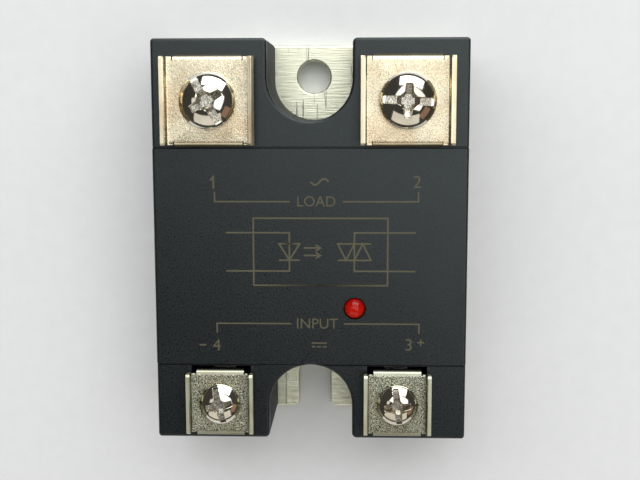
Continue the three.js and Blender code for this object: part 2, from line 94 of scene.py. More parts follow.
LOAD = {
    "thick": 0.65,
    "flange_length": 12.4,
    "tab_width": 9.8,
    "tab_turn": 70.0,
    "strip_thick": 1.0,
    "leg_half": 2.75,
    "leg_near": 4.605,
    "leg_far": 5.88,
    "pocket_half": 3.6,
    "nut_height": 3.2,
    "boss_half": 4.8,
    "boss_inboard": 4.48,
    "bore": 2.3,
    "shank": 2.0,
    "pitch": 0.7,
    "screw_length": 8.0,
    "head_height": 2.4,
    "slot": 1.1,
    "cross": 4.7,
    "cross_depth": 1.75,
    "lip": 0.05,
}
INPUT = {
    "thick": 0.6,
    "flange_length": 8.9,
    "tab_width": 7.0,
    "tab_turn": 84.0,
    "strip_thick": 0.8,
    "leg_half": 4.4,
    "leg_near": 3.225,
    "leg_far": 5.3,
    "pocket_half": 2.85,
    "nut_height": 2.4,
    "boss_half": 4.05,
    "boss_inboard": 3.1,
    "bore": 1.8,
    "shank": 1.5,
    "pitch": 0.5,
    "screw_length": 7.0,
    "head_height": 2.0,
    "slot": 0.9,
    "cross": 3.7,
    "cross_depth": 1.4,
    "lip": 0.05,
}
TERMINALS = (
    ("load", 1, LOAD, 1, 119.4),
    ("load", 2, LOAD, 1, -3.4),
    ("input", 4, INPUT, -1, 102.5),
    ("input", 3, INPUT, -1, 96.6),
)


def screw_centre(kind, number):
    low, high = span(f"{kind}_clamp_{number}")
    return (low[:2] + high[:2]) / 2


# ---- Meshes from arrays ----


class Skin:
    """Triangles gathered from several surfaces, then welded into one closed mesh. Millimetres."""

    def __init__(self):
        self.points = []
        self.faces = []
        self.count = 0

    def add(self, points, faces):
        self.points.append(np.asarray(points, float))
        self.faces.append(np.asarray(faces, int) + self.count)
        self.count += len(points)

    def grid(self, points, wrap=True):
        """A sheet from points[i, j], each cell split into two triangles. With wrap, the last i meets the first."""
        rows, columns = points.shape[:2]
        i = np.arange(rows if wrap else rows - 1)[:, None]
        j = np.arange(columns - 1)[None, :]
        nxt = (i + 1) % rows
        a, b = i * columns + j, nxt * columns + j
        c, d = nxt * columns + j + 1, i * columns + j + 1
        cells = np.concatenate([np.stack([a, b, c], -1).reshape(-1, 3), np.stack([a, c, d], -1).reshape(-1, 3)])
        self.add(points.reshape(-1, 3), cells)

    def wall(self, ring, *heights):
        """A ring of XY points carried straight up or down through the heights."""
        levels = [np.column_stack([ring, np.full(len(ring), z)]) for z in heights]
        self.grid(np.stack(levels, 1))

    def fill(self, rings, height, lines=()):
        """A flat fill between the first ring and the rings inside it; height is a number or a function of Y."""
        points, faces = triangulate(rings, lines)
        z = height(points[:, 1]) if callable(height) else np.full(len(points), float(height))
        self.add(np.column_stack([points, z]), faces)

    def arrays(self):
        points = np.concatenate(self.points)
        faces = np.concatenate(self.faces)
        keys, inverse = np.unique(np.round(points, 5), axis=0, return_inverse=True)
        faces = inverse.reshape(-1)[faces]
        a, b, c = faces.T
        return keys, faces[(a != b) & (b != c) & (a != c)]


def triangulate(rings, lines=()):
    """Delaunay triangles of the area inside an odd number of rings. lines are (start, end) pairs of ring points."""
    points = np.concatenate(rings)
    edges = []
    start = 0
    for ring in rings:
        index = np.arange(len(ring)) + start
        edges.append(np.column_stack([index, np.roll(index, -1)]))
        start += len(ring)
    edges = np.concatenate(edges)
    ring_edges = edges
    ends = [[nearest(points, a), nearest(points, b)] for a, b in lines]
    if ends:
        edges = np.concatenate([edges, np.array(ends)])
    result = delaunay_2d_cdt(points.tolist(), edges.tolist(), [], 0, 1e-5, True)
    source = np.array([ids[0] for ids in result[3]])
    faces = source[np.array(result[2])]
    middle = points[faces].mean(1)
    a, b = points[ring_edges[:, 0]], points[ring_edges[:, 1]]
    above = (a[None, :, 1] > middle[:, None, 1]) != (b[None, :, 1] > middle[:, None, 1])
    rise = np.where(a[:, 1] == b[:, 1], 1.0, b[:, 1] - a[:, 1])
    crossing = a[:, 0] + (middle[:, None, 1] - a[:, 1]) * (b[:, 0] - a[:, 0]) / rise
    inside = (above & (crossing > middle[:, None, 0])).sum(1) % 2 == 1
    return points, faces[inside]


def nearest(points, wanted):
    return int(np.argmin(((points - np.array(wanted)) ** 2).sum(1)))


def piece(name, skin, material, body, node=None, smooth=35.0, bevel=0.0, reach=None):
    """An object from a skin, with outward normals, on its body, standing for its CAD node.

    reach gives, from the points, how far each is across a sandy face in two directions, 1 being the face's edge.
    It is kept as a mesh attribute.
    """
    points, faces = skin.arrays() if isinstance(skin, Skin) else skin
    mesh = bpy.data.meshes.new(name)
    mesh.from_pydata((points * MM).tolist(), [], faces.tolist())
    tidy = bmesh.new()
    tidy.from_mesh(mesh)
    bmesh.ops.recalc_face_normals(tidy, faces=tidy.faces)
    tidy.to_mesh(mesh)
    tidy.free()
    mesh.shade_smooth()
    mesh.set_sharp_from_angle(angle=math.radians(smooth))
    mesh.materials.append(material)
    if reach:
        across = np.column_stack([reach(points), np.zeros(len(points))])
        kept = mesh.attributes.new("reach", "FLOAT_VECTOR", "POINT")
        kept.data.foreach_set("vector", across.astype(np.float32).ravel())
    made = bpy.data.objects.new(name, mesh)
    bpy.context.scene.collection.objects.link(made)
    if bevel:
        edge = made.modifiers.new("edge_round", "BEVEL")
        edge.width = bevel * MM
        edge.segments = 3
        edge.limit_method = "ANGLE"
        edge.angle_limit = math.radians(60)
        edge.harden_normals = True
    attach(made, body)
    if node:
        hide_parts(node)
    return made


# ---- Outlines ----


def arc(centre, radius, start, end, steps, side=1.0, extra=()):
    """Points and outward normals along an arc in degrees; side -1 is an arc that the material lies outside of."""
    turn = np.radians(np.linspace(start, end, steps + 1))
    if len(extra):
        turn = np.unique(np.concatenate([turn, np.radians(extra)]))
        turn = turn if end > start else turn[::-1]
    way = np.column_stack([np.cos(turn), np.sin(turn)])
    return np.array(centre) + radius * way, side * way


def end_outline(half_x, half_y, corner, notch, step_heights=()):
    """One end of a rounded rectangle, from its right corner to its left, with an optional round-ended notch.

    notch is (half width, distance of its deepest point from the middle, mouth rounding). step_heights are the Y
    values at which the notch's arc is given a point, once inset, for a line of the top to end on.
    """
    parts = [arc((half_x - corner, half_y - corner), corner, 0, 90, 8)]
    if notch:
        half, end, mouth = notch
        middle = end + half
        extra = []
        for y in step_heights:
            share = (middle - y) / (half + CASE_RIM + RIM_REST)
            if abs(share) < 1:
                turn = math.degrees(math.asin(share))
                extra += [-turn, turn - 180]
        parts.append(arc((half + mouth, half_y - mouth), mouth, 90, 180, 6))
        parts.append(arc((0, middle), half, 0, -180, 56, -1.0, extra))
        parts.append(arc((-half - mouth, half_y - mouth), mouth, 0, 90, 6))
    parts.append(arc((corner - half_x, half_y - corner), corner, 90, 180, 8))
    return np.concatenate([p for p, n in parts]), np.concatenate([n for p, n in parts])


def outline(half_x, half_y, corner, top_notch=None, bottom_notch=None, side_heights=(), steps_bottom=()):
    """A closed outline, points and outward normals, from two ends and two straight sides.

    side_heights are Y values of extra points on the sides, steps_bottom those on the lower notch, with Y reversed.
    """
    top, top_normal = end_outline(half_x, half_y, corner, top_notch)
    low, low_normal = end_outline(half_x, half_y, corner, bottom_notch, steps_bottom)
    down = np.array(sorted(side_heights, reverse=True)).reshape(-1, 1)
    left = np.hstack([np.full_like(down, -half_x), down])
    right = np.hstack([np.full_like(down, half_x), down[::-1]])
    flat = np.ones_like(down)
    left_normal, right_normal = np.hstack([-flat, 0 * flat]), np.hstack([flat, 0 * flat])
    points = np.concatenate([top, left, -low, right])
    normals = np.concatenate([top_normal, left_normal, -low_normal, right_normal])
    keep = np.linalg.norm(points - np.roll(points, 1, 0), axis=1) > 1e-6
    return points[keep], normals[keep]


def rectangle(x, y, half_x, low, high):
    """The four corners of a rectangle round x, from y + low to y + high."""
    return np.array([[x - half_x, y + low], [x + half_x, y + low], [x + half_x, y + high], [x - half_x, y + high]])


def circle(x, y, radius, count):
    turn = np.linspace(0, 2 * np.pi, count, endpoint=False)
    return np.column_stack([x + radius * np.cos(turn), y + radius * np.sin(turn)])


RIM_REST = 0.06  # a narrow flat band inside each rounded rim, which keeps the flats' shading flat


def rounding(radius, steps=6):
    """Inset and drop of each row of a quarter-round edge, from its outer foot to the flat."""
    turn = np.linspace(0, np.pi / 2, steps + 1)
    inset = np.append(radius * (1 - np.cos(turn)), radius + RIM_REST)
    drop = np.append(radius * (1 - np.sin(turn)), 0.0)
    return inset, drop


# ---- Shader nodes ----


class Wiring:
    """A node tree with short calls: each node's inputs are given by name or number, as values or as sockets."""

    def __init__(self, tree):
        self.tree = tree

    def node(self, kind, settings=None, **inputs):
        made = self.tree.nodes.new(kind)
        for name, value in (settings or {}).items():
            setattr(made, name, value)
        for name, value in inputs.items():
            key = name.replace("_", " ") if not name.startswith("n") or not name[1:].isdigit() else int(name[1:])
            self.put(made.inputs[key], value)
        return made

    def put(self, socket, value):
        if isinstance(value, bpy.types.NodeSocket):
            self.tree.links.new(value, socket)
        else:
            socket.default_value = value

    def place(self):
        """Object coordinates."""
        return self.tree.nodes.new("ShaderNodeTexCoord").outputs["Object"]

    def stretched(self, vector, scale, turn=0.0):
        made = self.node("ShaderNodeMapping", None, Vector=vector, Scale=scale, Rotation=(0.0, 0.0, turn))
        return made.outputs[0]

    def noise(self, vector, scale, detail=2.0, roughness=0.5):
        made = self.node("ShaderNodeTexNoise", None, Vector=vector, Scale=scale, Detail=detail, Roughness=roughness)
        return made.outputs["Fac"]

    def spread(self, value, low, high, to_low=0.0, to_high=1.0):
        made = self.node("ShaderNodeMapRange", None, Value=value)
        for label, end in (("From Min", low), ("From Max", high), ("To Min", to_low), ("To Max", to_high)):
            self.put(made.inputs[label], end)
        return made.outputs[0]

    def sum(self, operation, a, b):
        return self.node("ShaderNodeMath", {"operation": operation}, n0=a, n1=b).outputs[0]

    def blend(self, factor, a, b, how="MIX"):
        made = self.node("ShaderNodeMix", {"data_type": "RGBA", "blend_type": how}, n0=factor)
        self.put(made.inputs[6], a)
        self.put(made.inputs[7], b)
        return made.outputs[2]

    def group(self, tree, **inputs):
        made = self.tree.nodes.new("ShaderNodeGroup")
        made.node_tree = tree
        for name, value in inputs.items():
            self.put(made.inputs[name.replace("_", " ")], value)
        return made


def new_group(name, inputs, outputs):
    """An empty node group; inputs are (name, kind, default) and outputs (name, kind)."""
    tree = bpy.data.node_groups.new(name, "ShaderNodeTree")
    for label, kind, default in inputs:
        socket = tree.interface.new_socket(name=label, in_out="INPUT", socket_type=kind)
        if default is not None:
            socket.default_value = default
    for label, kind in outputs:
        tree.interface.new_socket(name=label, in_out="OUTPUT", socket_type=kind)
    return tree, tree.nodes.new("NodeGroupInput"), tree.nodes.new("NodeGroupOutput")


def finish_group(name, build, inputs):
    """A group whose outputs are Color, Roughness and Height, made by build(wiring, input sockets)."""
    float_kind, color_kind = "NodeSocketFloat", "NodeSocketColor"
    outputs = [("Color", color_kind), ("Roughness", float_kind), ("Height", float_kind)]
    tree, source, sink = new_group(name, inputs, outputs)
    wiring = Wiring(tree)
    for socket, value in zip(sink.inputs, build(wiring, source.outputs)):
        if isinstance(value, bpy.types.NodeSocket):
            tree.links.new(value, socket)
    return tree


def spark_grain(w, given):
    """Spark-eroded mould texture: fine pits of two sizes, pale flecks of dust, faint patches, rougher walls."""
    place = w.place()
    fine = w.noise(place, 7800.0, 2.0, 0.6)
    pits = w.noise(place, 4000.0, 2.0, 0.6)
    patches = w.noise(place, 95.0, 3.0, 0.5)
    flecks = w.spread(w.noise(place, 3300.0, 1.0, 0.5), 0.7, 0.8)
    tone = w.spread(w.sum("ADD", fine, pits), 0.8, 1.2, 0.1, 1.9)
    tone = w.sum("MULTIPLY", tone, w.spread(patches, 0.3, 0.7, 0.86, 1.14))
    shade = w.blend(1.0, given["Base"], tone, "MULTIPLY")
    color = w.blend(w.sum("MULTIPLY", flecks, 0.14), shade, given["Fleck"])
    rough = w.spread(w.sum("ADD", pits, fine), 0.7, 1.3, 0.24, 0.44)
    height = w.node("ShaderNodeSeparateXYZ", None, Vector=place).outputs["Z"]
    rough = w.sum("ADD", rough, w.spread(height, (PLATFORM - 1.2) * MM, (PLATFORM - 0.6) * MM, 0.35, 0.0))
    height = w.sum("ADD", w.sum("MULTIPLY", pits, 0.6), w.sum("MULTIPLY", fine, 0.4))
    return color, rough, height


def plated_speckle(w, given):
    """Nickel plating: sandy where the mesh's reach is under 1, bright just beyond, satin on the far flanges. The far
    flanges' colour is lightened as a painted highlight, and the sandy part, which on the screws is the recess floor,
    is darkened as painted shade.
    """
    place = w.place()
    reach = w.node("ShaderNodeAttribute", {"attribute_name": "reach"}).outputs["Vector"]
    reach = w.node("ShaderNodeVectorMath", {"operation": "ABSOLUTE"}, n0=reach).outputs[0]
    reach = w.node("ShaderNodeSeparateXYZ", None, Vector=reach)
    blasted = w.spread(w.sum("MAXIMUM", reach.outputs[0], reach.outputs[1]), 0.98, 1.05, 1.0, 0.0)
    grains = w.noise(place, 9000.0, 1.0, 0.6)
    coarse = w.noise(w.stretched(place, (1.0, 0.6, 1.0)), 6500.0, 2.0, 0.6)
    stain = w.spread(w.noise(place, 170.0, 2.0, 0.5), 0.42, 0.62)
    clouds = w.spread(w.noise(place, 420.0, 3.0, 0.5), 0.3, 0.7, 0.9, 1.08)
    sand = w.spread(w.sum("ADD", grains, coarse), 0.75, 1.25, -0.5, 0.5)
    # painted shade: the sandy part, which on the screws is the recess floor, is darkened by a set amount
    sand = w.sum("SUBTRACT", w.sum("MULTIPLY", sand, given["Speckle"]), given["Grime"])
    # painted highlight: past the flat, across X, the flanges' colour is multiplied up as if they caught the light
    clouds = w.sum("MULTIPLY", clouds, w.spread(reach.outputs[0], 1.07, 1.12, 1.0, given["Flange"]))
    tone = w.sum("MULTIPLY", clouds, w.sum("ADD", w.sum("MULTIPLY", sand, blasted), 1.0))
    shade = w.blend(1.0, given["Base"], tone, "MULTIPLY")
    stained = w.blend(1.0, shade, given["Stain Color"], "MULTIPLY")
    color = w.blend(w.sum("MULTIPLY", stain, given["Stain"]), shade, stained)
    sandy = w.sum("ADD", given["Polish"], w.spread(grains, 0.3, 0.7, -0.06, 0.08))
    bright = w.sum("ADD", given["Shine"], w.spread(clouds, 0.9, 1.08, 0.03, -0.02))
    bright = w.sum("ADD", bright, w.spread(reach.outputs[0], 1.07, 1.12, 0.0, 0.36))
    rough = w.sum("ADD", w.sum("MULTIPLY", w.sum("SUBTRACT", sandy, bright), blasted), bright)
    return color, rough, w.sum("MULTIPLY", w.sum("ADD", grains, coarse), w.spread(blasted, 0.0, 1.0, 0.04, 1.0))


def drawn_metal(w, given):
    """Metal with fine parallel drawing lines along X, a few longer scratches, and cloudy tarnish."""
    place = w.place()
    lines = w.noise(w.stretched(place, (0.05, 1.0, 1.0)), 5200.0, 2.0, 0.6)
    cross = w.noise(w.stretched(place, (1.0, 0.05, 1.0), 0.3), 1500.0, 1.0, 0.5)
    scratches = w.spread(cross, 0.66, 0.7)
    clouds = w.noise(place, 260.0, 3.0, 0.55)
    tone = w.spread(lines, 0.3, 0.7, 0.9, 1.06)
    tone = w.sum("MULTIPLY", tone, w.spread(clouds, 0.3, 0.7, 0.88, 1.06))
    tone = w.sum("SUBTRACT", tone, w.sum("MULTIPLY", scratches, given["Scratches"]))
    color = w.blend(1.0, given["Base"], tone, "MULTIPLY")
    rough = w.sum("ADD", given["Polish"], w.spread(w.sum("ADD", lines, clouds), 0.7, 1.3, -0.07, 0.1))
    return color, rough, w.sum("SUBTRACT", lines, scratches)


def soft_mottle(w, given):
    """An even surface with faint clouds of tone and a fine grain."""
    place = w.place()
    clouds = w.noise(place, 420.0, 3.0, 0.5)
    grain = w.noise(place, 3800.0, 2.0, 0.6)
    tone = w.sum("MULTIPLY", w.spread(clouds, 0.3, 0.7, 0.88, 1.1), w.spread(grain, 0.3, 0.7, 0.93, 1.06))
    color = w.blend(1.0, given["Base"], tone, "MULTIPLY")
    rough = w.sum("ADD", given["Polish"], w.spread(clouds, 0.3, 0.7, -0.06, 0.08))
    return color, rough, grain


COLOR, VALUE = "NodeSocketColor", "NodeSocketFloat"
WHITE = (1.0, 1.0, 1.0, 1.0)
BASE = ("Base", COLOR, WHITE)
POLISH = ("Polish", VALUE, 0.3)
GRAIN = finish_group("spark_grain", spark_grain, [BASE, ("Fleck", COLOR, WHITE)])
PLATED_INPUTS = [BASE, POLISH, ("Shine", VALUE, 0.15), ("Speckle", VALUE, 0.5)]
# the last two inputs set the painted shade on the sandy part and the painted highlight on the far flanges
PLATED_INPUTS += [("Stain", VALUE, 0.3), ("Stain Color", COLOR, WHITE), ("Grime", VALUE, 0.0), ("Flange", VALUE, 1.2)]
PLATED = finish_group("plated_speckle", plated_speckle, PLATED_INPUTS)
DRAWN = finish_group("drawn_metal", drawn_metal, [BASE, POLISH, ("Scratches", VALUE, 0.2)])
MOTTLE = finish_group("soft_mottle", soft_mottle, [BASE, POLISH])


def finish_of(name, tree, bump, metallic=0.0, coat=0.0, **inputs):
    """A material whose colour, roughness and small relief come from one of the shared groups."""
    made = bpy.data.materials.new(name)
    made.use_nodes = True
    w = Wiring(made.node_tree)
    shader = made.node_tree.nodes["Principled BSDF"]
    source = w.group(tree, **inputs)
    relief = w.node("ShaderNodeBump", None, Height=source.outputs["Height"], Strength=1.0)
    relief.inputs["Distance"].default_value = bump * MM
    w.put(shader.inputs["Base Color"], source.outputs["Color"])
    w.put(shader.inputs["Roughness"], source.outputs["Roughness"])
    w.put(shader.inputs["Normal"], relief.outputs[0])
    shader.inputs["Metallic"].default_value = metallic
    shader.inputs["Coat Weight"].default_value = coat
    return made


def rgb(red, green, blue):
    """A colour from its 0-255 display values."""
    share = np.array([red, green, blue]) / 255
    line = np.where(share <= 0.04045, share / 12.92, ((share + 0.055) / 1.055) ** 2.4)
    return (*line.tolist(), 1.0)


case_finish = finish_of("case_plastic", GRAIN, 0.018, Base=rgb(19, 22, 23), Fleck=rgb(110, 114, 114))
case_shader = case_finish.node_tree.nodes["Principled BSDF"]
case_shader.inputs["Specular Tint"].default_value = (0.86, 0.98, 1.0, 1.0)
case_shader.inputs["Specular IOR Level"].default_value = 0.56
plate_finish = finish_of("plate_metal", DRAWN, 0.05, 1.0, Base=rgb(240, 242, 218), Polish=0.34, Scratches=0.1)
load_clamp_finish = finish_of(
    "load_clamp_plating",
    PLATED,
    0.035,
    1.0,
    Base=rgb(230, 220, 192),
    Polish=0.27,
    Shine=0.16,
    Speckle=0.6,
    Stain=0.35,
    Stain_Color=rgb(225, 196, 168),
)
input_clamp_finish = finish_of(
    "input_clamp_plating",
    PLATED,
    0.09,
    1.0,
    Base=rgb(164, 166, 148),
    Polish=0.25,
    Shine=0.16,
    Speckle=2.4,
    Stain=0.3,
    Stain_Color=rgb(205, 180, 150),
    # painted highlight on the flanges, nearly twice as light as the flat
    Flange=1.9,
)
screw_finish = finish_of(
    "screw_plating",
    PLATED,
    0.02,
    1.0,
    Base=rgb(240, 236, 222),
    Polish=0.3,
    Shine=0.08,
    Speckle=0.9,
    Stain=0.3,
    Stain_Color=rgb(215, 196, 170),
    # painted shade on the floors of the slot and cross
    Grime=0.42,
)
copper_finish = finish_of("copper_strip", DRAWN, 0.01, 1.0, Base=rgb(190, 122, 80), Polish=0.38, Scratches=0.1)
tinned_finish = finish_of("tinned_metal", DRAWN, 0.01, 1.0, Base=rgb(205, 204, 198), Polish=0.34, Scratches=0.1)
ceramic_finish = finish_of("ceramic", MOTTLE, 0.01, Base=rgb(236, 233, 222), Polish=0.55)
board_finish = finish_of("board_laminate", MOTTLE, 0.01, Base=rgb(34, 96, 54), Polish=0.45, coat=0.3)
moulding_finish = finish_of("black_moulding", MOTTLE, 0.015, Base=rgb(28, 28, 29), Polish=0.5)
capacitor_finish = finish_of("capacitor_case", MOTTLE, 0.01, Base=rgb(214, 176, 58), Polish=0.4)
potting_finish = finish_of("potting_compound", MOTTLE, 0.02, Base=rgb(66, 70, 75), Polish=0.35)
ink_finish = finish_of("print_ink", MOTTLE, 0.01, Base=rgb(84, 81, 62), Polish=0.7)


def lamp_material():
    """Deep red lens plastic, brighter towards the foot of the dome where light gathers."""
    made = bpy.data.materials.new("lamp_lens")
    made.use_nodes = True
    w = Wiring(made.node_tree)
    shader = made.node_tree.nodes["Principled BSDF"]
    place = w.place()
    clouds = w.noise(place, 900.0, 2.0, 0.5)
    height = w.node("ShaderNodeSeparateXYZ", None, Vector=place).outputs["Y"]
    foot = w.spread(height, (LAMP_HIGH[1] - 0.6) * MM, (LAMP_LOW[1] + 0.5) * MM)
    deep = w.blend(clouds, rgb(128, 2, 1), rgb(165, 6, 4))
    w.put(shader.inputs["Base Color"], w.blend(w.sum("MULTIPLY", foot, 0.8), deep, rgb(222, 38, 14)))
    w.put(shader.inputs["Roughness"], w.spread(clouds, 0.3, 0.7, 0.08, 0.16))
    shader.inputs["Specular IOR Level"].default_value = 0.3
    shader.inputs["Subsurface Weight"].default_value = 0.3
    shader.inputs["Subsurface Scale"].default_value = 0.001
    shader.inputs["Subsurface Radius"].default_value = (1.0, 0.2, 0.1)
    return made


lamp_finish = lamp_material()

KEPT_NODES = (
    (copper_finish, ("load_strip", "copper_pad", "bridge_clip")),
    (tinned_finish, ("input_strip", "load_nut", "input_nut", "gate_pin", "sense_pin")),
    (ceramic_finish, ("ceramic_substrate", "input_resistor", "gate_resistor", "snubber_resistor")),
    (board_finish, ("control_board",)),
    (moulding_finish, ("thyristor", "optocoupler", "input_diode", "input_transistor")),
    (capacitor_finish, ("snubber_capacitor",)),
    (potting_finish, ("potting_compound",)),
)
for finish, starts in KEPT_NODES:
    for node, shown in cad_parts.items():
        if node.startswith(starts):
            shown.data.materials.clear()
            shown.data.materials.append(finish)


# ---- Case ----


STEP_LINES = [INPUT_STEP_Y + d for d in (-0.16, -0.06, 0.02, 0.12)]
STEP_LINES += [LOAD_STEP_Y + d for d in (-0.12, -0.02, 0.06, 0.16)]


def step_profile(y):
    """Height of the case's top by Y: platform, then a fine groove and a short slope up to the label panel."""
    low, groove, top = PLATFORM, PLATFORM - STEP_GROOVE, LABEL_TOP
    return np.interp(y, STEP_LINES, [low, groove, groove, top, top, groove, groove, low])


def case_shell():
    """The moulded case: a rim profile carried round an outline with two notches, flats filled between rings.

    The outside goes up from the base plate, over a quarter-round rim, onto the top. The inside is a room with
    the same notches, with a hollow boss for each nut, a slot for each strip's leg and a hole for the lamp.
    """
    skin = Skin()
    half_x, half_y = CASE_HIGH[0], CASE_HIGH[1]
    base = CASE_LOW[2]
    ring, normal = outline(
        half_x,
        half_y,
        CASE_CORNER,
        (NOTCH_HALF, LOAD_NOTCH_END, NOTCH_MOUTH),
        (NOTCH_HALF, -INPUT_NOTCH_END, NOTCH_MOUTH),
        STEP_LINES,
        [-y for y in STEP_LINES[:4]],
    )
    inset, drop = rounding(CASE_RIM)
    rows = [np.column_stack([ring, np.full(len(ring), base)])]
    rows.append(np.column_stack([ring, step_profile(ring[:, 1]) - CASE_RIM - RIM_REST]))
    for step_in, step_down in zip(inset, drop):
        xy = ring - normal * step_in
        rows.append(np.column_stack([xy, step_profile(xy[:, 1]) - step_down]))
    skin.grid(np.stack(rows, 1))
    top_ring = ring - normal * inset[-1]
    lamp_x, lamp_y = (LAMP_LOW[:2] + LAMP_HIGH[:2]) / 2
    lamp_hole = circle(lamp_x, lamp_y, (LAMP_HIGH[0] - LAMP_LOW[0]) / 2 - 0.35 + 0.12, 48)
    pockets, slots, bosses = [], [], []
    for kind, number, t, way, _ in TERMINALS:
        x, y = screw_centre(kind, number)
        edge = t["pocket_half"]
        pockets.append(rectangle(x, y, edge, -edge, edge))
        inner = sorted((-way * t["leg_near"], -way * t["leg_far"]))
        slots.append(rectangle(x, y, t["leg_half"], *inner))
        reach = min(t["boss_half"], half_y - CASE_WALL - 0.05 - abs(y))
        bosses.append(rectangle(x, y, t["boss_half"], *sorted((-way * t["boss_inboard"], way * reach))))
    edge_x = half_x - inset[-1]
    lines = []
    for y in STEP_LINES:
        arc_share = NOTCH_HALF + inset[-1]
        drop_y = (INPUT_NOTCH_END - NOTCH_HALF) - y
        if abs(drop_y) < arc_share and y < 0:
            x = math.sqrt(arc_share**2 - drop_y**2)
            lines += [((-edge_x, y), (-x, y)), ((x, y), (edge_x, y))]
        else:
            lines.append(((-edge_x, y), (edge_x, y)))
    skin.fill([top_ring, lamp_hole, *pockets, *slots], step_profile, lines)
    room, _ = outline(
        half_x - CASE_WALL,
        half_y - CASE_WALL,
        CASE_CORNER,
        (NOTCH_HALF + NOTCH_WALL, LOAD_NOTCH_END - NOTCH_WALL, 0.5),
        (NOTCH_HALF + NOTCH_WALL, -INPUT_NOTCH_END - NOTCH_WALL, 0.5),
    )
    skin.wall(room, base, ROOF_UNDER)
    skin.fill([ring, room], base)
    skin.fill([room, lamp_hole, *slots, *bosses], ROOF_UNDER)
    skin.wall(lamp_hole, LABEL_TOP, ROOF_UNDER)
    for (kind, number, t, _, _), pocket, slot, boss in zip(TERMINALS, pockets, slots, bosses):
        x, y = screw_centre(kind, number)
        floor = PLATFORM - 0.1 - t["nut_height"] - 0.1
        tip = PLATFORM + t["strip_thick"] + t["thick"] - t["screw_length"] - 0.5
        bore = circle(x, y, t["bore"], 32)
        skin.wall(slot, PLATFORM, ROOF_UNDER)
        skin.wall(pocket, PLATFORM, floor)
        skin.fill([pocket, bore], floor)
        skin.wall(bore, floor, tip)
        skin.fill([bore], tip)
        skin.wall(boss, ROOF_UNDER, tip - 1.0)
        skin.fill([boss], tip - 1.0)
    return skin


piece("case_shell", case_shell(), case_finish, "relay_body", "case")


# ---- Base plate ----


def plate_skin():
    """The base plate: a profile with both edges rounded, carried round the outline and round the fixing hole."""
    skin = Skin()
    ring, normal = outline(PLATE_HIGH[0], PLATE_HIGH[1], PLATE_CORNER, None, (SLOT_HALF, -SLOT_END, SLOT_MOUTH))
    hole = circle(0.0, HOLE_Y, HOLE_RADIUS, 64)
    hole_normal = (np.array([0.0, HOLE_Y]) - hole) / HOLE_RADIUS
    inset, drop = rounding(PLATE_ROUND, 4)
    low, high = PLATE_LOW[2], PLATE_HIGH[2]
    for loop, outward in ((ring, normal), (hole, hole_normal)):
        rows = [np.column_stack([loop - outward * i, np.full(len(loop), low + d)]) for i, d in zip(inset, drop)][::-1]
        rows += [np.column_stack([loop - outward * i, np.full(len(loop), high - d)]) for i, d in zip(inset, drop)]
        skin.grid(np.stack(rows, 1))
    flat = [ring - normal * inset[-1], hole - hole_normal * inset[-1]]
    skin.fill(flat, low)
    skin.fill(flat, high)
    return skin


piece("mounting_plate", plate_skin(), plate_finish, "relay_body", "base_plate")


# ---- Clamps ----

BEND_STEPS = 6


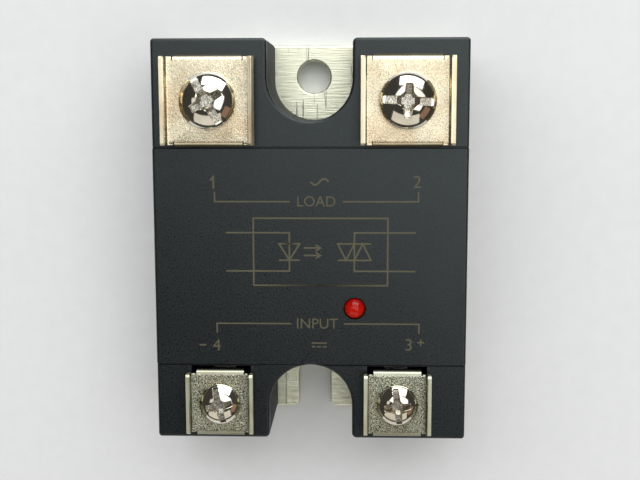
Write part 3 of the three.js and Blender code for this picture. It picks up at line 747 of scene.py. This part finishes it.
def clamp_skin(kind, number, t, lean=0.0, curl=0.0):
    """A flat cross-shaped blank with a hole, bent up along both sides and down at both ends.

    Blank coordinates u and v are lengths along the middle of the sheet. Across u the sheet is flat, then turns a
    quarter circle up, then stands straight; along v, inside the width of a tab, it turns down by the tab's angle.
    Both faces are the bent sheet moved half its thickness along its normal, joined round every cut edge. lean is
    how far the right flange is bent past upright, in degrees; curl is how far the -Y end lifts, as the square of v.
    """
    low, high = span(f"{kind}_clamp_{number}")
    x, y = (low[:2] + high[:2]) / 2
    half_w, half_l = (high[:2] - low[:2]) / 2
    thick = t["thick"]
    middle = PLATFORM + t["strip_thick"] + thick / 2
    up_radius = 1.1 * thick
    up_start = half_w - 1.6 * thick
    up_arc = up_radius * np.pi / 2
    up_end = up_start + up_arc + (high[2] - middle - up_radius)
    down_radius = 0.52 * thick
    down_turn = math.radians(t["tab_turn"])
    down_arc = down_radius * down_turn
    drop = middle - low[2] - down_radius * (1 - math.cos(down_turn)) - math.cos(down_turn) * thick / 2
    tab_length = drop / math.sin(down_turn)
    down_start = half_l - (down_radius + thick / 2) * math.sin(down_turn) - tab_length * math.cos(down_turn)
    down_end = down_start + down_arc + tab_length
    shoulder = t["flange_length"] / 2
    tab = t["tab_width"] / 2
    relief = 0.12
    chamfer = 0.3
    up_lines = up_start + np.linspace(0, up_arc, BEND_STEPS + 1)
    down_lines = down_start + np.linspace(0, down_arc, BEND_STEPS + 1)
    quarter = [(up_end, shoulder - chamfer), (up_end - chamfer, shoulder)]
    quarter += [(u, shoulder) for u in up_lines[::-1]]
    quarter += [(tab + relief, shoulder), (tab + relief, down_start - 0.06), (tab, down_start - 0.06)]
    quarter += [(tab, v) for v in down_lines]
    quarter += [(tab, down_end - 0.15), (tab - 0.15, down_end)]
    quarter = np.array(quarter)
    ring = np.concatenate([quarter, quarter[::-1] * (-1, 1), quarter * (-1, -1), quarter[::-1] * (1, -1)])
    hole = circle(0.0, 0.0, t["bore"], 40)
    lines = [((s * u, -shoulder), (s * u, shoulder)) for u in up_lines for s in (-1, 1)]
    lines += [((-tab, s * v), (tab, s * v)) for v in down_lines for s in (-1, 1)]
    flat, faces = triangulate([ring, hole], lines)
    u, v = np.abs(flat[:, 0]), np.abs(flat[:, 1])
    side, end = np.sign(flat[:, 0]), np.sign(flat[:, 1])
    full_turn = np.where(side > 0, np.pi / 2 + math.radians(lean), np.pi / 2)
    turn = np.clip((u - up_start) / up_radius, 0, full_turn)
    stand = np.maximum(u - up_start - up_radius * full_turn, 0)
    across = np.minimum(u, up_start) + up_radius * np.sin(turn) + stand * np.cos(turn)
    rise = up_radius * (1 - np.cos(turn)) + stand * np.sin(turn)
    rise += curl * np.clip(-flat[:, 1] / half_l, 0, 1) ** 2
    on_tab = u < tab + relief / 2
    dip = np.where(on_tab, np.clip((v - down_start) / down_radius, 0, down_turn), 0.0)
    hang = np.where(on_tab, np.maximum(v - down_start - down_arc, 0), 0.0)
    along = np.where(on_tab, np.minimum(v, down_start) + down_radius * np.sin(dip) + hang * np.cos(dip), v)
    fall = down_radius * (1 - np.cos(dip)) + hang * np.sin(dip)
    sheet = np.column_stack([x + side * across, y + end * along, middle + rise - fall])
    normal = np.column_stack([-side * np.sin(turn), end * np.sin(dip), np.cos(turn) * np.cos(dip)])
    normal /= np.linalg.norm(normal, axis=1)[:, None]
    skin = Skin()
    upper, lower = sheet + normal * thick / 2, sheet - normal * thick / 2
    skin.add(upper, faces)
    skin.add(lower, faces)
    for start, count in ((0, len(ring)), (len(ring), len(hole))):
        loop = np.arange(start, start + count)
        skin.grid(np.stack([lower[loop], upper[loop]], 1))
    return skin


# ---- Screws ----


def soft_step(value, width):
    """0 below -width / 2 and 1 above width / 2, smooth between."""
    share = np.clip(value / width + 0.5, 0, 1)
    return share * share * (3 - 2 * share)


def dome_height(reach, t, radius):
    """Height of an uncut head over its seat: a low dome on a narrow level lip with a rounded edge.

    The dome falls with the 2.8th power of the distance from the middle, which makes it meet the lip at 45 degrees.
    """
    height = t["head_height"]
    rim = 0.35 * height
    dome_radius = radius - t["lip"]
    share = np.clip(reach / dome_radius, 0, 1)
    dome = rim + (height - rim) * (1 - share**2.8)
    edge = np.clip((reach - (radius - 0.08)) / 0.08, 0, 1)
    return np.where(reach > dome_radius, rim, dome) - 0.08 * (1 - np.sqrt(1 - edge**2))


def head_height(x, y, t, radius):
    """Height of the head's top over its seat, with x along the slot.

    The dome, less a straight-sided slot with a level floor, less a cross of two square-ended wings whose floor
    falls to the middle, and a facet across each corner between the wings.
    """
    height = t["head_height"]
    dome = dome_height(np.hypot(x, y), t, radius)
    slot = height * (1 - 0.5 * soft_step(t["slot"] / 2 - np.abs(y), 0.1))
    arm = t["cross"] / 2
    result = np.minimum(dome, slot)
    for along, aside in ((x, y), (y, x)):
        inward = np.clip(1 - np.abs(along) / arm, 0, 1)
        depth = t["cross_depth"] * (0.22 + 1.25 * inward)
        half = t["slot"] * (0.4 + 0.14 * inward)
        wing = soft_step(half - np.abs(aside), 0.2) * soft_step(arm - np.abs(along), 0.2)
        result = np.minimum(result, dome - wing * depth)
    corner = (np.abs(x) + np.abs(y)) / (0.32 * t["cross"])
    facet = height - t["cross_depth"] * np.clip(1.25 - corner, 0, 1)
    floor = height - t["cross_depth"]
    return np.maximum(np.minimum(result, facet), floor)


def screw_skin(kind, number, t, angle):
    """A pan head as a height over a polar grid, closed by a skirt, its seat and a threaded shank.

    The thread is the shank's radius falling by a rounded ridge shape of (turn - height / pitch).
    """
    low, high = span(f"{kind}_screw_{number}")
    x, y = screw_centre(kind, number)
    radius = (high[0] - low[0]) / 2
    seat = PLATFORM + t["strip_thick"] + t["thick"]
    turn = np.linspace(0, 2 * np.pi, 288, endpoint=False)
    reach = radius * np.sin(np.linspace(0, 1, 110) * np.pi / 2)
    local_x = np.cos(turn)[:, None] * reach
    local_y = np.sin(turn)[:, None] * reach
    z = seat + head_height(local_x, local_y, t, radius)
    z = np.minimum(z, high[2])
    c, s = math.cos(math.radians(angle)), math.sin(math.radians(angle))
    top = np.stack([x + c * local_x - s * local_y, y + s * local_x + c * local_y, z], -1)
    skin = Skin()
    skin.grid(top)
    rim = top[:, -1]
    around = rim[:, :2] - (x, y)
    seat_edge = np.column_stack([rim[:, :2], np.full(len(turn), seat + 0.1)])
    seat_foot = np.column_stack([(x, y) + around * (1 - 0.1 / radius), np.full(len(turn), seat)])
    drop = np.linspace(0, t["screw_length"], 150)
    way = np.arctan2(around[:, 1], around[:, 0])[:, None]
    phase = way / (2 * np.pi) + drop[None, :] / t["pitch"]
    ridge = np.abs((phase % 1.0) - 0.5) * 2
    body = t["shank"] - 0.55 * t["pitch"] * np.clip(1.15 * ridge - 0.1, 0, 1)
    point = np.clip((t["screw_length"] - drop) / 0.5, 0, 1)[None, :]
    body = body * (0.75 + 0.25 * point)
    shank = np.stack([x + body * np.cos(way), y + body * np.sin(way), np.broadcast_to(seat - drop, body.shape)], -1)
    tip = np.broadcast_to(np.array([x, y, seat - t["screw_length"]]), (len(turn), 1, 3))
    skin.grid(np.concatenate([top[:, -1:], seat_edge[:, None], seat_foot[:, None], shank, tip], 1))
    return skin


def clamp_reach(kind, number, t):
    """Distance from a clamp's middle in X and Y, as a share of its flat's half width and half length. The finish
    paints a highlight on the flanges, past about 1.1 in X.
    """
    low, high = span(f"{kind}_clamp_{number}")
    half = (high[:2] - low[:2]) / 2 - (1.5 * t["thick"], 1.3 * t["thick"])
    middle = (low[:2] + high[:2]) / 2
    return lambda points: (points[:, :2] - middle) / half


def screw_reach(kind, number, t):
    """Under 1 on the floor of a head's recess and over 1 on its dome, by depth under the uncut dome. The finish paints
    shade where it is under 1.
    """
    low, high = span(f"{kind}_screw_{number}")
    middle = screw_centre(kind, number)
    radius = (high[0] - low[0]) / 2
    seat = PLATFORM + t["strip_thick"] + t["thick"]

    def reach(points):
        out = np.hypot(*(points[:, :2] - middle).T)
        depth = seat + dome_height(out, t, radius) - points[:, 2]
        share = 1.05 - 0.07 * np.clip((depth - 0.2) / 0.2, 0, 1) * (out < 0.97 * radius)
        return np.column_stack([share, share])

    return reach


CLAMP_SHAPES = {1: (13.0, 0.0), 2: (0.0, 0.14)}
CLAMP_FINISHES = {"load": load_clamp_finish, "input": input_clamp_finish}
for kind, number, t, _, angle in TERMINALS:
    clamp_node, screw_node = f"{kind}_clamp_{number}", f"{kind}_screw_{number}"
    shape = clamp_skin(kind, number, t, *CLAMP_SHAPES.get(number, ()))
    reach = clamp_reach(kind, number, t)
    piece(f"{clamp_node}_sheet", shape, CLAMP_FINISHES[kind], clamp_node, clamp_node, 35.0, 0.07, reach)
    turned = screw_skin(kind, number, t, angle)
    reach = screw_reach(kind, number, t)
    piece(f"{screw_node}_turned", turned, screw_finish, screw_node, screw_node, 50.0, reach=reach)


# ---- Indicator lamp ----


def lamp_skin():
    """The lamp: a profile of dome, barrel and flange turned about its axis, with two square leads under it."""
    skin = Skin()
    x, y = (LAMP_LOW[:2] + LAMP_HIGH[:2]) / 2
    flange = (LAMP_HIGH[0] - LAMP_LOW[0]) / 2
    radius = flange - 0.35
    flange_top = ROOF_UNDER - 0.12
    flange_low = flange_top - 0.9
    rise = np.linspace(0, np.pi / 2, 20)
    reach = np.concatenate([[0.0, flange, flange, radius], radius * np.cos(rise)])
    dome = LAMP_HIGH[2] - radius + radius * np.sin(rise)
    z = np.concatenate([[flange_low, flange_low, flange_top, flange_top], dome])
    reach[-1] = 0.0
    turn = np.linspace(0, 2 * np.pi, 64, endpoint=False)[:, None]
    skin.grid(np.stack([x + reach * np.cos(turn), y + reach * np.sin(turn), np.broadcast_to(z, (64, len(z)))], -1))
    for side in (-1.27, 1.27):
        lead = rectangle(x + side, y, 0.25, -0.25, 0.25)
        skin.wall(lead, flange_low - 0.01, LAMP_LOW[2])
        skin.fill([lead], LAMP_LOW[2])
        skin.fill([lead], flange_low - 0.01)
    return skin


piece("indicator_lamp", lamp_skin(), lamp_finish, "relay_body", "indicator_led", 40.0)


# ---- Print on the label panel ----

LINE = 0.22


def text_flat(body, x, y, cap_height, stretch=1.0):
    """Lettering as flat triangles centred on x and y, its capitals of the given height."""
    curve = bpy.data.curves.new("lettering", "FONT")
    curve.body = body
    curve.resolution_u = 4
    holder = bpy.data.objects.new("lettering", curve)
    bpy.context.scene.collection.objects.link(holder)
    bpy.context.view_layer.update()
    mesh = bpy.data.meshes.new_from_object(holder.evaluated_get(bpy.context.evaluated_depsgraph_get()))
    mesh.calc_loop_triangles()
    points = np.zeros(len(mesh.vertices) * 3)
    mesh.vertices.foreach_get("co", points)
    faces = np.zeros(len(mesh.loop_triangles) * 3, int)
    mesh.loop_triangles.foreach_get("vertices", faces)
    bpy.data.objects.remove(holder)
    bpy.data.curves.remove(curve)
    bpy.data.meshes.remove(mesh)
    points, faces = points.reshape(-1, 3)[:, :2], faces.reshape(-1, 3)
    middle = (points.min(0) + points.max(0)) / 2
    scale = cap_height / (points[:, 1].max() - points[:, 1].min())
    return (points - middle) * scale * (stretch, 1.0) + (x, y), faces


def stroke(path, width=LINE):
    """A line of one width along a path of points, mitred at its corners."""
    path = np.array(path, float)
    step = np.diff(path, axis=0)
    step /= np.linalg.norm(step, axis=1)[:, None]
    left = np.column_stack([-step[:, 1], step[:, 0]])
    before, after = np.vstack([left[:1], left]), np.vstack([left, left[-1:]])
    mitre = before + after
    mitre /= (mitre * before).sum(1)[:, None]
    sides = np.stack([path + mitre * width / 2, path - mitre * width / 2], 1).reshape(-1, 2)
    i = np.arange(len(path) - 1)[:, None] * 2
    faces = np.concatenate([i + [0, 1, 3], i + [0, 3, 2]])
    return sides, faces


def print_skin():
    """Every printed line and letter as a thin raised layer: a flat shape, its copy just under the panel, and walls."""
    flats = [
        text_flat("LOAD", 0.92, 6.05, 1.5, 0.98),
        text_flat("INPUT", 1.05, -11.85, 1.5, 1.0),
        stroke([(-14.35, 9.05), (-13.9, 9.55), (-13.9, 7.85)], 0.27),
        text_flat("2", 15.35, 8.85, 1.75),
        text_flat("4", -13.75, -15.1, 1.75),
        text_flat("3", 14.35, -14.95, 1.75),
        stroke([(-16.3, -15.1), (-15.3, -15.1)], 0.25),
        stroke([(15.6, -14.6), (16.6, -14.6)], 0.22),
        stroke([(16.1, -14.1), (16.1, -15.1)], 0.22),
    ]
    load_bracket = (6.0, 1.4, (-13.75, 15.55), (-2.9, 4.74))
    input_bracket = (-11.87, -1.4, (-13.65, 15.8), (-2.76, 4.87))
    for middle, tick, ends, gap in (load_bracket, input_bracket):
        flats.append(stroke([(ends[0], middle + tick), (ends[0], middle), (gap[0], middle)]))
        flats.append(stroke([(gap[1], middle), (ends[1], middle), (ends[1], middle + tick)]))
    wave = np.linspace(-1, 1, 13)
    flats.append(stroke(np.column_stack([1.4 + 1.3 * wave, 8.85 + 0.45 * np.sin(np.pi * wave)]), 0.25))
    flats.append(stroke([(0.2, -14.75), (2.4, -14.75)], 0.22))
    for left in (0.2, 1.0, 1.8):
        flats.append(stroke([(left, -15.3), (left + 0.55, -15.3)], 0.22))
    flats += relay_symbol()
    skin = Skin()
    for order, (points, faces) in enumerate(flats):
        top = np.column_stack([points, np.full(len(points), LABEL_TOP + PRINT_RISE + 0.0003 * order)])
        under = np.column_stack([points, np.full(len(points), LABEL_TOP - PRINT_RISE - 0.0003 * order)])
        directed = np.concatenate([faces[:, [0, 1]], faces[:, [1, 2]], faces[:, [2, 0]]])
        pairs, uses = np.unique(np.sort(directed, axis=1), axis=0, return_counts=True)
        a, b = pairs[uses == 1].T
        count = len(points)
        walls = np.concatenate([np.column_stack([a, b, b + count]), np.column_stack([a, b + count, a + count])])
        skin.add(np.vstack([top, under]), np.concatenate([faces, faces + count, walls]))
    return skin


def triangle(x, y, half, tall):
    """A triangle's path, from the middle of its flat side at y + tall round its point at y - tall."""
    return [(x, y + tall), (x + half, y + tall), (x, y - tall), (x - half, y + tall), (x, y + tall)]


def relay_symbol():
    """A plain circuit symbol: an input diode facing a switching element inside a frame, with its four leads."""
    lines = []
    frame_low, frame_high = (-8.2, -6.2), (11.2, 3.6)
    foot = ((frame_low[0] + frame_high[0]) / 2, frame_low[1])
    corners = [frame_low, (frame_low[0], frame_high[1]), frame_high, (frame_high[0], frame_low[1])]
    lines.append([foot, *corners, foot])
    diode_x, switch_x, middle = -3.0, 6.4, (frame_low[1] + frame_high[1]) / 2
    lines.append([(-12.2, 1.5), (diode_x, 1.5), (diode_x, -4.1), (-12.2, -4.1)])
    lines.append(triangle(diode_x, middle, 1.5, 1.2))
    lines.append([(diode_x - 1.5, middle - 1.2), (diode_x + 1.5, middle - 1.2)])
    lines.append([(15.2, 1.5), (switch_x, 1.5), (switch_x, -4.1), (15.2, -4.1)])
    for shift, way in ((-1.2, 1), (1.2, -1)):
        x = switch_x + shift
        lines.append(triangle(x, middle, 1.2, way * 1.2))
    lines.append([(switch_x - 2.4, middle + 1.2), (switch_x + 2.4, middle + 1.2)])
    lines.append([(switch_x - 2.4, middle - 1.2), (switch_x + 2.4, middle - 1.2)])
    for shift in (-0.5, 0.6):
        y = middle + shift
        lines.append([(diode_x + 2.1, y), (diode_x + 4.4, y)])
        lines.append([(diode_x + 3.8, y + 0.45), (diode_x + 4.5, y), (diode_x + 3.8, y - 0.45)])
    return [stroke(line, 0.24) for line in lines]


piece("print_layer", print_skin(), ink_finish, "relay_body", smooth=30.0)


# ---- Floor, light and camera ----


def floor_material():
    made = bpy.data.materials.new("floor_paper")
    made.use_nodes = True
    w = Wiring(made.node_tree)
    shader = made.node_tree.nodes["Principled BSDF"]
    source = w.group(MOTTLE, Base=rgb(231, 233, 234), Polish=0.9)
    w.put(shader.inputs["Base Color"], w.blend(0.12, rgb(231, 233, 234), source.outputs["Color"]))
    shader.inputs["Roughness"].default_value = 0.9
    shader.inputs["Specular IOR Level"].default_value = 0.1
    return made


def floor_sheet():
    """A level sheet under the relay on a grid of X and Y."""
    skin = Skin()
    line = np.linspace(-1500, 1500, 7)
    x, y = np.meshgrid(line, line, indexing="ij")
    skin.grid(np.stack([x, y, np.full_like(x, -0.02)], -1), wrap=False)
    points, faces = skin.arrays()
    mesh = bpy.data.meshes.new("floor")
    mesh.from_pydata((points * MM).tolist(), [], faces.tolist())
    mesh.materials.append(floor_material())
    made = bpy.data.objects.new("floor", mesh)
    bpy.context.scene.collection.objects.link(made)


floor_sheet()


def area_light(name, place, aim, size, power, color=(1.0, 1.0, 1.0), mirrored=True, lit=True, turn=0.0):
    """A soft rectangular light at a place in millimetres, facing its aim and turned about its axis in degrees.

    mirrored and lit say whether shiny and matt surfaces show it.
    """
    data = bpy.data.lights.new(name, "AREA")
    data.shape = "RECTANGLE"
    data.size, data.size_y = size[0] * MM, size[1] * MM
    data.energy = power
    data.color = color
    made = bpy.data.objects.new(name, data)
    bpy.context.scene.collection.objects.link(made)
    made.location = np.array(place) * MM
    direction = Vector((np.array(aim, float) - np.array(place, float)).tolist())
    facing = direction.to_track_quat("-Z", "Y") @ Quaternion((0.0, 0.0, 1.0), math.radians(turn))
    made.rotation_euler = facing.to_euler()
    made.visible_glossy = mirrored
    made.visible_diffuse = lit


area_light("window_light", (100, 430, 240), (0, 10, 10), (560, 340), 2.3, lit=False)
area_light("overhead_light", (167, 170, 620), (167, 170, 0), (900, 600), 2.7, turn=-30.0)
area_light("low_fill", (-40, -445, 290), (0, 0, 10), (800, 420), 0.75, (1.0, 0.96, 0.88))
area_light("left_card", (-400, 20, 600), (0, 0, 0), (160, 200), 0.08)
area_light("warm_card", (340, -210, 200), (0, 0, 10), (240, 200), 0.035, (1.0, 0.55, 0.32))
area_light("sky_fill", (-60, 700, 620), (0, 0, 0), (3400, 900), 15.3, mirrored=False)

world = bpy.data.worlds.new("room")
world.use_nodes = True
world.node_tree.nodes["Background"].inputs[0].default_value = (1.0, 0.95, 0.9, 1.0)
world.node_tree.nodes["Background"].inputs[1].default_value = 0.05
bpy.context.scene.world = world

camera_data = bpy.data.cameras.new("camera")
camera_data.sensor_width = 36.0
camera_data.lens = 57.0
camera_data.clip_start = 0.01
camera = bpy.data.objects.new("camera", camera_data)
bpy.context.scene.collection.objects.link(camera)
camera.location = (0.00655, 0.019544, 0.163867)
camera.rotation_euler = (-0.131, 0.035, -0.002)
bpy.context.scene.camera = camera
bpy.context.scene.view_settings.view_transform = "Standard"
